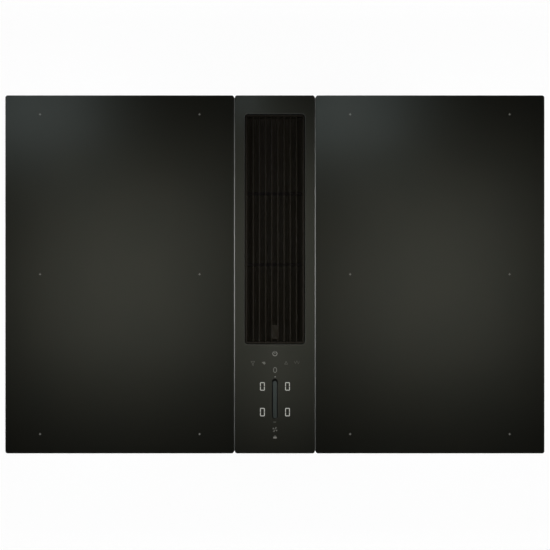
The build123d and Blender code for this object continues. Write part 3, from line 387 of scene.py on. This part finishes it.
plastics = {
    "seal_foam": {"name": "sealFoam", "colour": (0.012, 0.012, 0.012, 1.0),
                  "roughness": 0.9, "grain": 1500.0, "bump": 0.5},
    "grey_silicone": {"name": "greySilicone", "colour": (0.33, 0.34, 0.33, 1.0),
                      "roughness": 0.45, "grain": 600.0, "bump": 0.1},
    "mica": {"name": "micaSheet", "colour": (0.6, 0.53, 0.42, 1.0),
             "roughness": 0.6, "grain": 300.0, "bump": 0.2},
    "former_plastic": {"name": "formerPlastic", "colour": (0.02, 0.02, 0.022, 1.0),
                       "roughness": 0.5, "grain": 2500.0, "bump": 0.15},
    "ferrite": {"name": "ferrite", "colour": (0.025, 0.025, 0.028, 1.0),
                "roughness": 0.55, "grain": 700.0, "bump": 0.3},
    "black_plastic": {"name": "blackPlastic", "colour": (0.018, 0.018, 0.019, 1.0),
                      "roughness": 0.42, "grain": 1800.0, "bump": 0.2},
    "grey_plastic": {"name": "greyPlastic", "colour": (0.075, 0.078, 0.082, 1.0),
                     "roughness": 0.45, "grain": 1800.0, "bump": 0.2},
    "nozzle_plastic": {"name": "nozzlePlastic", "colour": (0.0066, 0.0055, 0.0038, 1.0),
                       "roughness": 0.42, "grain": 2600.0, "bump": 0.1, "shine": 0.25},
    "display_plastic": {"name": "displayPlastic", "colour": (0.5, 0.51, 0.51, 1.0),
                        "roughness": 0.3, "grain": 900.0, "bump": 0.05},
    "nylon": {"name": "nylon", "colour": (0.02, 0.02, 0.02, 1.0),
              "roughness": 0.38, "grain": 2000.0, "bump": 0.1},
}
metals = {
    "screw_steel": {"name": "zincPlatedSteel", "colour": (0.6, 0.6, 0.58, 1.0),
                    "roughness": 0.3, "scale": 900.0},
    "aluminium_sheet": {"name": "aluminiumSheet", "colour": (0.75, 0.76, 0.78, 1.0),
                        "roughness": 0.38, "scale": 500.0},
    "filter_steel": {"name": "filterSteel", "colour": (0.5, 0.472, 0.43, 1.0),
                     "roughness": 0.4, "scale": 700.0},
    "motor_steel": {"name": "motorSteel", "colour": (0.32, 0.33, 0.34, 1.0),
                    "roughness": 0.42, "scale": 1200.0},
}
materialBySlot = {
    "black_glass": glassMaterial("blackCeramicGlass"),
    "galvanised_steel": zincMaterial("galvanisedSteel", (0.46, 0.48, 0.5, 1.0)),
    "copper_litz": coilMaterial("copperLitz"),
    "circuit_board": boardMaterial("circuitBoard"),
}
for plasticSlot, values in plastics.items():
    materialBySlot[plasticSlot] = plasticMaterial(**values)
for metalSlot, values in metals.items():
    materialBySlot[metalSlot] = metalMaterial(**values)
for part in frame["record"]["subparts"]:
    for slot in nodes[part["node"]].material_slots:
        slot.link = "OBJECT"
        slot.material = materialBySlot[part["material_slot"]]


# Flat marks on the glass

markLayer = {"thickness": 0.03 * mm, "sink": 0.01 * mm}
sharpestMitre = 0.4


def heading(start, end):
    return (Vector(end) - Vector(start)).normalized()


def ribbon(mesh, points, width, closed=False):
    # Flat mitred stroke of constant width along a polyline in the XY plane.
    count = len(points)
    edges = []
    for index, point in enumerate(points):
        towards = since = None
        if closed or index < count - 1:
            towards = heading(point, points[(index + 1) % count])
        if closed or index > 0:
            since = heading(points[index - 1], point)
        along = ((towards or since) + (since or towards)).normalized()
        across = Vector((-along.y, along.x))
        onward = towards or since
        stretch = 1.0 / max(sharpestMitre, abs(across.dot(Vector((-onward.y, onward.x)))))
        reach = across * width / 2 * stretch
        left, right = Vector(point) + reach, Vector(point) - reach
        edges.append((mesh.verts.new((*left, 0)), mesh.verts.new((*right, 0))))
    for index in range(count if closed else count - 1):
        left, right = edges[index]
        nextLeft, nextRight = edges[(index + 1) % count]
        mesh.faces.new((left, right, nextRight, nextLeft))


def patch(mesh, points):
    # Filled outline in the XY plane.
    mesh.faces.new([mesh.verts.new((x, y, 0)) for x, y in points])


def arcPoints(centre, radius, startAngle, endAngle, steps, squash=1.0):
    points = []
    for index in range(steps + 1):
        angle = math.radians(startAngle + (endAngle - startAngle) * index / steps)
        across, up = radius * math.cos(angle), radius * squash * math.sin(angle)
        points.append((centre[0] + across, centre[1] + up))
    return points


def makePiece(name, mesh, material):
    data = bpy.data.meshes.new(name)
    mesh.to_mesh(data)
    mesh.free()
    piece = bpy.data.objects.new(name, data)
    bpy.context.collection.objects.link(piece)
    data.materials.append(material)
    return piece


def thicken(mesh, shift):
    # Gives flat faces a second layer and side walls, in the same order at each run.
    faces = mesh.faces[:]
    rims = [tuple(edge.verts) for edge in mesh.edges if len(edge.link_faces) == 1]
    moved = {vert: mesh.verts.new((vert.co.x, vert.co.y, vert.co.z + shift)) for vert in mesh.verts[:]}
    for face in faces:
        mesh.faces.new([moved[vert] for vert in reversed(face.verts[:])])
    for first, second in rims:
        mesh.faces.new((first, second, moved[second], moved[first]))
    bmesh.ops.recalc_face_normals(mesh, faces=mesh.faces)


def finishMark(name, mesh, place, material, body="cooktop", height=None):
    # Turns flat faces into a thin layer at a place given in millimetres.
    bmesh.ops.recalc_face_normals(mesh, faces=mesh.faces)
    for face in mesh.faces:
        if face.normal.z < 0:
            face.normal_flip()
    thicken(mesh, markLayer["thickness"] / mm)
    base = (glassTop if height is None else height) - markLayer["sink"]
    for vert in mesh.verts:
        x, y = vert.co.x + place[0], vert.co.y + place[1]
        vert.co = Vector((x * mm, y * mm, base + vert.co.z * mm))
    piece = makePiece(name, mesh, material)
    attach(piece, body)


litDigit = lampMaterial("litDigit", 184, 184, 178)
litBright = lampMaterial("litBright", 132, 132, 127)
litMid = lampMaterial("litMid", 112, 112, 107)
litFaint = lampMaterial("litFaint", 80, 80, 75)
litPointer = lampMaterial("litPointer", 96, 96, 90)
# Glow of the painted highlight at the front end of the slider groove.
paintedSlotHighlight = lampMaterial("paintedSlotHighlight", 62, 62, 58)
litFan = lampMaterial("litFan", 92, 92, 87)
litLock = lampMaterial("litLock", 112, 111, 105)
# Printed zone ink given a glow: painted light in place of lit print.
zoneInkPaintedGlow = lampMaterial("zoneInkPaintedGlow", 112, 112, 107)

# Four digits of two cooking zones each side: seven segments, the middle one dark.
digitSizes = {
    "width": 6.7, "height": 11.9, "bar": 1.05, "gap": 0.35, "bevel": 0.9, "split": 0.03, "taper": 0.98,
    "centresX": (-17.9, 18.2), "centresY": (-161.1, -198.1),
}


def makeDigit(name, place):
    mesh = bmesh.new()
    halfWide = digitSizes["width"] / 2
    halfTall = digitSizes["height"] / 2
    bar, gap, bevel = digitSizes["bar"], digitSizes["gap"], digitSizes["bevel"]
    for side in (-1, 1):
        inner = side * (halfWide - bar)
        outer = side * halfWide
        for end in (-1, 1):
            outerTop = end * (halfTall - bevel - digitSizes["split"])
            innerTop = end * (halfTall - bar) * digitSizes["taper"]
            patch(mesh, [(outer, end * gap), (outer, outerTop), (inner, innerTop), (inner, end * gap)])
    for end in (-1, 1):
        outer = end * halfTall
        inner = end * (halfTall - bar)
        corner = halfWide - bevel
        shoulder = end * (halfTall - bevel)
        patch(mesh, [(-corner, outer), (corner, outer), (halfWide, shoulder),
                     (halfWide - bar, inner), (bar - halfWide, inner), (-halfWide, shoulder)])
    finishMark(name, mesh, place, litDigit)


for row, digitY in enumerate(digitSizes["centresY"]):
    for column, digitX in enumerate(digitSizes["centresX"]):
        makeDigit(f"zone_digit_{row * 2 + column + 1}", (digitX, digitY))

# Touch symbols in millimetres: filled outlines, and strokes as points, width and whether closed.
touchSymbols = {
    "power_symbol": {
        "place": (0.1, -114.0), "look": litBright,
        "strokes": [(arcPoints((0, 0), 3.1, 122, 418, 30), 0.8, False), ([(0, 3.7), (0, -0.4)], 0.64, False)],
    },
    "fan_level_digit": {
        "place": (0.3, -137.5), "look": litMid,
        "strokes": [(arcPoints((0, 0), 2.3, 0, 345, 23, 1.55), 0.75, True)],
    },
    "slider_dot": {
        "place": (0.4, -147.3), "look": litMid,
        "fills": [arcPoints((0, 0), 0.95, 0, 345, 23)],
    },
    "filter_symbol": {            # funnel: grease filter service
        "place": (-31.6, -127.8), "look": litFaint,
        "strokes": [
            ([(-2.6, 2.6), (2.6, 2.6), (0.5, -0.3), (0.5, -3.2), (-0.5, -2.6), (-0.5, -0.3)], 0.55, True),
        ],
    },
    "keep_warm_symbol": {         # broad pointer: keep-warm level
        "place": (-16.0, -127.8), "look": litPointer,
        "fills": [[(-2.9, 1.7), (1.3, 2.3), (2.8, -0.2), (1.0, -2.0), (-0.5, -1.0)]],
    },
    "pause_symbol": {             # triangle: pause
        "place": (16.2, -127.4), "look": litFaint,
        "strokes": [([(0, 2.3), (2.1, -1.8), (-2.1, -1.8)], 0.5, True)],
    },
    "air_symbol": {               # peaks: automatic air control
        "place": (31.7, -126.5), "look": litFaint,
        "strokes": [([(-3.8, 1.6), (-2.2, -1.8), (0, 2.4), (2.2, -2.0), (3.8, 1.8)], 0.35, False)],
    },
    # Painted highlight: a faint glowing bar where light catches the front slope of the slider groove.
    "slider_end_painted_highlight": {
        "place": (-0.2, -212.4), "look": paintedSlotHighlight,
        "strokes": [([(-1.9, 0), (1.9, 0)], 1.5, False)],
    },
    "fan_symbol": {               # four curved blades: extractor
        "place": (0.1, -223.1), "look": litFan,
        "fills": [
            arcPoints((0, 0), 3.7, turn, turn + 38, 5) + arcPoints((0, 0), 0.925, turn + 46, turn + 4, 3)
            for turn in (40, 130, 220, 310)
        ],
    },
    "lock_symbol": {              # closed padlock: child lock
        "place": (0.2, -234.2), "look": litLock,
        "fills": [[(-2.4, -1.8), (2.4, -1.8), (2.4, 0.4), (-2.4, 0.4)]],
        "strokes": [(arcPoints((0, 0.42), 1.5, 0, 180, 12), 0.6, False)],
    },
}
for symbolName, symbol in touchSymbols.items():
    mesh = bmesh.new()
    for outline in symbol.get("fills", []):
        patch(mesh, outline)
    for points, width, closed in symbol.get("strokes", []):
        ribbon(mesh, points, width, closed)
    finishMark(symbolName, mesh, symbol["place"], symbol["look"])

# Slider groove: a satin floor inside a sloping border of painted shade, near black where the groove wall
# falls in shadow, wider on the right than on the left.
grooveSizes = {
    "centreY": -178.8, "length": 57.8, "width": 8.3, "depth": 1.3, "film": 0.06,
    # floorShiftForShade sets the floor off centre, so that the painted shade border is uneven.
    "floorShiftForShade": (0.15, -1.3), "floorLength": 53.6, "floorWidth": 5.5, "steps": 10,
}
grooveLooks = {
    "floor": {"name": "sliderFilm", "colour": (0.031, 0.0373, 0.0350, 1.0),
              "roughness": 0.5, "grain": 900.0, "bump": 0.05, "shine": 0.2},
    # Near-black painted shade on the groove's sloping wall.
    "border": {"name": "sliderBorderPaintedShade", "colour": (0.001, 0.0011, 0.001, 1.0),
               "roughness": 0.6, "grain": 900.0, "bump": 0.05, "shine": 0.1},
}


def slotOutline(centre, length, width, height):
    # Points round a slot along Y, from its right flank over the back end.
    reach, radius, steps = length / 2 - width / 2, width / 2, grooveSizes["steps"]
    back = arcPoints((centre[0], centre[1] + reach), radius, 0, 180, steps)
    front = arcPoints((centre[0], centre[1] - reach), radius, 180, 360, steps)
    return [(x, y, height) for x, y in back + front]


def finishGroove(name, mesh, material):
    # Gives the faces the film's thickness downwards, and puts the piece on the glass, in metres.
    thicken(mesh, -grooveSizes["film"] / 2)
    for vert in mesh.verts:
        vert.co = Vector((vert.co.x * mm, vert.co.y * mm, glassTop + vert.co.z * mm))
    piece = makePiece(name, mesh, material)
    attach(piece, "cooktop")


grooveMiddle = (0, grooveSizes["centreY"])
floorMiddle = (grooveSizes["floorShiftForShade"][0], grooveSizes["centreY"] + grooveSizes["floorShiftForShade"][1])
floorHeight = grooveSizes["film"] - grooveSizes["depth"]
rim = slotOutline(grooveMiddle, grooveSizes["length"], grooveSizes["width"], 0)
inner = slotOutline(floorMiddle, grooveSizes["floorLength"], grooveSizes["floorWidth"], floorHeight)
mesh = bmesh.new()
mesh.faces.new([mesh.verts.new(point) for point in inner])
finishGroove("slider_floor", mesh, plasticMaterial(**grooveLooks["floor"]))
# The border ring: painted shade standing in for the shadow on the groove wall.
mesh = bmesh.new()
rimVerts = [mesh.verts.new(point) for point in rim]
innerVerts = [mesh.verts.new(point) for point in inner]
for index in range(len(rimVerts)):
    ahead = (index + 1) % len(rimVerts)
    mesh.faces.new((rimVerts[index], rimVerts[ahead], innerVerts[ahead], innerVerts[index]))
finishGroove("slider_border_painted_shade", mesh, plasticMaterial(**grooveLooks["border"]))

# Cross bars of the inlet nozzle: painted shade, a dark matt strip between the slats with a painted shadow
# line along each side, so that the bars look sunk below the slats.
barSizes = {
    "rows": (116.0, 14.0), "width": 4.0, "line": 0.9, "below": 3.8,
    "slats": 8, "slatWidth": 1.6, "reach": 79.6,
}
# Colours of the painted shade on the bars and of the painted shadow lines along their edges.
barLooks = {
    "shade": {"name": "nozzleBarPaintedShade", "colour": (0.0034, 0.0028, 0.0019, 1.0),
              "roughness": 0.7, "grain": 2600.0, "bump": 0.1, "shine": 0.15},
    "line": {"name": "nozzleBarShadowLine", "colour": (0.0008, 0.0007, 0.0005, 1.0),
             "roughness": 0.8, "grain": 2600.0, "bump": 0.1, "shine": 0.1},
}
barPaintedShade = plasticMaterial(**barLooks["shade"])
barShadowLine = plasticMaterial(**barLooks["line"])


def makeBarStrip(name, rowY, offsets, width, material):
    pitch = barSizes["reach"] / (barSizes["slats"] + 1)
    mesh = bmesh.new()
    for gap in range(barSizes["slats"] + 1):
        left = gap * pitch - barSizes["reach"] / 2 + barSizes["slatWidth"] / 2
        right = left + pitch - barSizes["slatWidth"]
        for offset in offsets:
            low, high = offset - width / 2, offset + width / 2
            patch(mesh, [(left, low), (right, low), (right, high), (left, high)])
    height = glassTop - barSizes["below"] * mm
    finishMark(name, mesh, (0, rowY), material, "inlet_nozzle", height)


# Each bar gets a strip of painted shade and two painted shadow lines.
for row, barY in enumerate(barSizes["rows"], 1):
    lineAt = (barSizes["width"] - barSizes["line"]) / 2
    makeBarStrip(f"bar_painted_shade_{row}", barY, (0,), barSizes["width"] - 2 * barSizes["line"], barPaintedShade)
    makeBarStrip(f"bar_shadow_lines_{row}", barY, (-lineAt, lineAt), barSizes["line"], barShadowLine)

# Zone corner marks: a small cross at each corner of the four zones, printed ink shown as a painted glow in
# its screen colour.
zoneMarks = {"spacingX": 229.4, "rows": (230.2, 0.2, -229.7), "arm": 1.6, "stroke": 0.8, "moduleX": 223.0}


def crossPoints(centre):
    # Outline of one cross, a quarter at a time.
    arm, half = zoneMarks["arm"], zoneMarks["stroke"] / 2
    quarter = [(arm, -half), (arm, half), (half, half)]
    points = []
    for turn in range(4):
        points += [(centre[0] + x, centre[1] + y) for x, y in quarter]
        quarter = [(-y, x) for x, y in quarter]
    return points


for side, sign in (("left", -1), ("right", 1)):
    mesh = bmesh.new()
    for end in (-0.5, 0.5):
        for rowY in zoneMarks["rows"]:
            patch(mesh, crossPoints((sign * zoneMarks["moduleX"] + end * zoneMarks["spacingX"], rowY)))
    finishMark(f"{side}_zone_marks", mesh, (0, 0), zoneInkPaintedGlow)
print("marks drawn")


# Studio

studio = {
    "floorSize": 60.0,
    "floorColour": (0.86, 0.86, 0.86, 1.0),
    "whiteShare": 0.6,            # how much of the floor is plain white to the camera
    "whiteLevel": 0.98,
    "floorRoughness": 0.8,
    "floorSun": 3.5,
    "floorSunAngle": 5.0,
    "floorSunHeight": 3.0,
    "fillStrength": 0.02,
    "white": (1.0, 1.0, 1.0, 1.0),
    "overheadDark": (0.0185, 0.0165, 0.0125, 1.0),
    "overheadRise": (0.35, 0.85),  # upward share of a ray, from white to dark
    "coolTint": (0.8, 0.92, 1.08),
    "plainTint": (1.0, 1.0, 0.99),
    "wideOpen": 180.0,            # spread of a lamp that names none
}


def makeFloor():
    # Pale floor under the part's lowest point, a little whiter to the camera than to the lamps.
    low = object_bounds()[0].z
    half = studio["floorSize"] / 2
    corners = ((-half, -half), (half, -half), (half, half), (-half, half))
    mesh = bmesh.new()
    mesh.faces.new([mesh.verts.new((x, y, low)) for x, y in corners])
    material, tree, shader = startMaterial("paleFloor")
    shader.inputs["Base Color"].default_value = studio["floorColour"]
    shader.inputs["Roughness"].default_value = studio["floorRoughness"]
    white = tree.nodes.new("ShaderNodeEmission")
    white.inputs["Strength"].default_value = studio["whiteLevel"]
    path = tree.nodes.new("ShaderNodeLightPath")
    seen = mathNode(tree, "MAXIMUM", path.outputs["Is Camera Ray"], path.outputs["Is Transmission Ray"])
    seen = mathNode(tree, "MAXIMUM", seen, path.outputs["Is Glossy Ray"])
    share = mathNode(tree, "MULTIPLY", seen, studio["whiteShare"])
    mix = tree.nodes.new("ShaderNodeMixShader")
    tree.links.new(share, mix.inputs["Fac"])
    tree.links.new(shader.outputs["BSDF"], mix.inputs[1])
    tree.links.new(white.outputs["Emission"], mix.inputs[2])
    # From below the floor is clear, so that the underside of the casing can be looked at.
    side = tree.nodes.new("ShaderNodeNewGeometry")
    clear = tree.nodes.new("ShaderNodeBsdfTransparent")
    oneSided = tree.nodes.new("ShaderNodeMixShader")
    tree.links.new(side.outputs["Backfacing"], oneSided.inputs["Fac"])
    tree.links.new(mix.outputs["Shader"], oneSided.inputs[1])
    tree.links.new(clear.outputs["BSDF"], oneSided.inputs[2])
    tree.links.new(oneSided.outputs["Shader"], tree.nodes["Material Output"].inputs["Surface"])
    floor = makePiece("floor", mesh, material)


def makeWorld():
    # White round the horizon, dark overhead, as under a studio ceiling.
    world = bpy.data.worlds.new("studio")
    bpy.context.scene.world = world
    world.use_nodes = True
    tree = world.node_tree
    background = tree.nodes["Background"]
    direction = tree.nodes.new("ShaderNodeTexCoord")
    split = tree.nodes.new("ShaderNodeSeparateXYZ")
    tree.links.new(direction.outputs["Generated"], split.inputs["Vector"])
    overhead = rangeNode(tree, split.outputs["Z"], *studio["overheadRise"], 0.0, 1.0)
    room = colourBetween(tree, overhead, studio["white"], studio["overheadDark"])
    path = tree.nodes.new("ShaderNodeLightPath")
    mix = tree.nodes.new("ShaderNodeMix")
    mix.data_type = "RGBA"
    mix.inputs[7].default_value = studio["white"]
    tree.links.new(path.outputs["Is Camera Ray"], mix.inputs["Factor"])
    tree.links.new(room, mix.inputs[6])
    tree.links.new(mix.outputs[2], background.inputs["Color"])
    strength = rangeNode(tree, path.outputs["Is Diffuse Ray"], 0.0, 1.0, 1.0, studio["fillStrength"])
    tree.links.new(strength, background.inputs["Strength"])


lamps = {
    "leftGlow": {"place": (-0.222, 0.0, 0.205), "size": (0.26, 0.27), "power": 0.575, "spread": 124.0},
    "rightGlow": {"place": (0.224, 0.0, 0.205), "size": (0.26, 0.27), "power": 0.575, "spread": 124.0},
    "leftCorner": {"place": (-0.36, 0.246, 0.15), "size": (0.2, 0.12), "power": 0.2, "spread": 96.0},
    "rightCorner": {"place": (0.085, 0.246, 0.15), "size": (0.2, 0.12), "power": 0.2, "spread": 96.0},
    "centreGlow": {"place": (0.0, 0.0, 0.2), "size": (0.03, 0.42), "power": 0.19, "spread": 84.0},
    "centreCorner": {"place": (-0.045, 0.25, 0.08), "size": (0.04, 0.03), "power": 0.022, "spread": 120.0},
}
# Lamps that light only some pieces, so that no glow spills over a joint.
litOnly = {
    "leftCorner": ("left_glass",),
    "rightCorner": ("right_glass",),
    "centreGlow": (
        "centre_glass", "slider_floor", "inlet_nozzle",
        "filter_frame", "filter_mesh", "drip_tray", "upper_shell",
    ),
    "centreCorner": ("centre_glass",),
}
sideLamps = {"distance": 1.3, "length": 1.4, "height": 0.17, "level": -0.1, "power": 1.5}
for turn in range(4):
    quarter = math.radians(90 * turn)
    away = Vector((math.cos(quarter), math.sin(quarter), 0)) * sideLamps["distance"]
    lamps[f"sideStrip{turn}"] = {
        "place": (away.x, away.y, sideLamps["level"]),
        "target": (0.0, 0.0, sideLamps["level"]),
        "size": (sideLamps["length"], sideLamps["height"]),
        "power": sideLamps["power"],
    }


def shineOnly(lamp, titles):
    # Keeps a lamp's light to the named pieces; everything still casts its shadow.
    receivers = bpy.data.collections.new(f"lit_by_{lamp.name}")
    for title in titles:
        receivers.objects.link(bpy.data.objects[title])
    lamp.light_linking.receiver_collection = receivers


def makeFloorSun():
    # Straight down on the floor alone, so that the part keeps a soft shadow below it.
    data = bpy.data.lights.new("floorSun", "SUN")
    data.energy = studio["floorSun"]
    data.angle = math.radians(studio["floorSunAngle"])
    lamp = bpy.data.objects.new("floorSun", data)
    lamp.location = (0, 0, studio["floorSunHeight"])
    lamp.visible_glossy = False
    bpy.context.collection.objects.link(lamp)
    shineOnly(lamp, ("floor",))


def makeLamp(name, values):
    data = bpy.data.lights.new(name, "AREA")
    data.shape = "RECTANGLE"
    data.size, data.size_y = values["size"]
    data.energy = values["power"]
    data.color = studio["coolTint" if "Corner" in name else "plainTint"]
    data.spread = math.radians(values.get("spread", studio["wideOpen"]))
    lamp = bpy.data.objects.new(name, data)
    lamp.location = values["place"]
    target = Vector(values.get("target", (values["place"][0], values["place"][1], 0.0)))
    lamp.rotation_euler = (target - lamp.location).to_track_quat("-Z", "Y").to_euler()
    lamp.visible_camera = False
    lamp.visible_glossy = False
    bpy.context.collection.objects.link(lamp)
    if name in litOnly:
        shineOnly(lamp, litOnly[name])


makeFloor()
makeFloorSun()
makeWorld()
for lampName, lampValues in lamps.items():
    makeLamp(lampName, lampValues)

cameraView = {
    "mmPerPixel": 1.4383, "imageSize": 550, "centre": (274.85, 274.39),
    "lens": 200.0, "sensor": 36.0, "clipEnd": 50.0,
}


def makeCamera():
    # Straight down, far away, so the glass field fills the frame as in the picture.
    data = bpy.data.cameras.new("camera")
    data.lens = cameraView["lens"]
    data.sensor_width = cameraView["sensor"]
    data.sensor_fit = "HORIZONTAL"
    data.clip_end = cameraView["clipEnd"]
    camera = bpy.data.objects.new("camera", data)
    bpy.context.collection.objects.link(camera)
    pixel = cameraView["mmPerPixel"] * mm
    distance = pixel * cameraView["imageSize"] * cameraView["lens"] / cameraView["sensor"]
    middle = cameraView["imageSize"] / 2
    offX = (middle - cameraView["centre"][0]) * pixel
    offY = -(middle - cameraView["centre"][1]) * pixel
    camera.location = (offX, offY, glassTop + distance)
    bpy.context.scene.camera = camera


makeCamera()
bpy.context.scene.view_settings.view_transform = "Standard"
print("studio ready")
